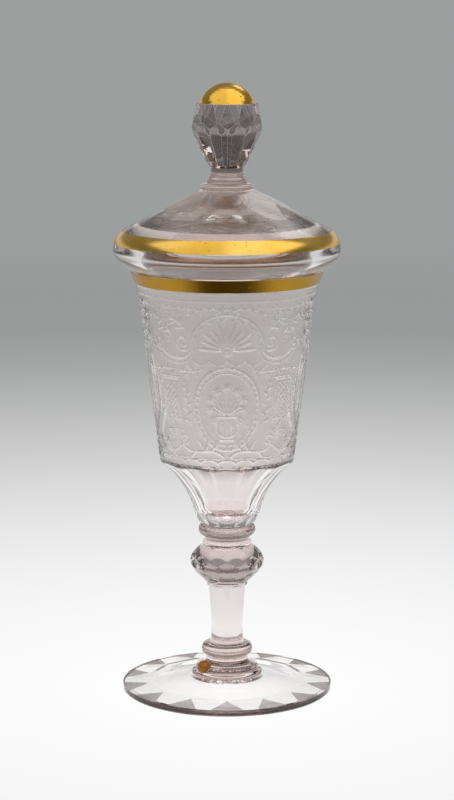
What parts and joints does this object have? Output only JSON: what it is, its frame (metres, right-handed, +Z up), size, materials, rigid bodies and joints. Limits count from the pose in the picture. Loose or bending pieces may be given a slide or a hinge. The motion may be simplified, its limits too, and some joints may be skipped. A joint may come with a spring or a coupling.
{
  "type": "covered goblet",
  "caption": "Covered glass goblet: a tapered engraved bowl with a fluted base on a knopped stem and a cut foot, with gilded rims and a lift-off lid with a gilded finial.",
  "frame": {"origin": "middle of the foot's standing face", "axes": "+Z up along the goblet's axis, -Y towards the viewer of the picture, +X to that viewer's right"},
  "size_m": [0.1106, 0.1106, 0.3001],
  "materials": {
    "glass": "polished, faintly mauve, with a matt engraved drum",
    "gilding": "burnished gold leaf",
    "lacquer": "clear amber, glossy"
  },
  "bodies": {
    "goblet": {"foot": "glass", "stem_base": "glass", "lower_ring": "glass", "stem_column": "glass", "stem_knop": "glass", "knop_collar": "glass", "upper_ring": "glass", "bowl": "glass", "bowl_gilding": "gilding", "lacquer_drop": "lacquer"},
    "lid": {"lid_shell": "glass", "lid_gilding": "gilding", "finial_ring": "glass", "finial_neck": "glass", "finial_knob": "glass", "finial_gilding": "gilding"}
  },
  "joints": [
    {"name": "lid_lift", "type": "slide", "parent": "goblet", "child": "lid", "axis": [0, 0, 1], "range_m": [0, 0.12]}
  ]
}
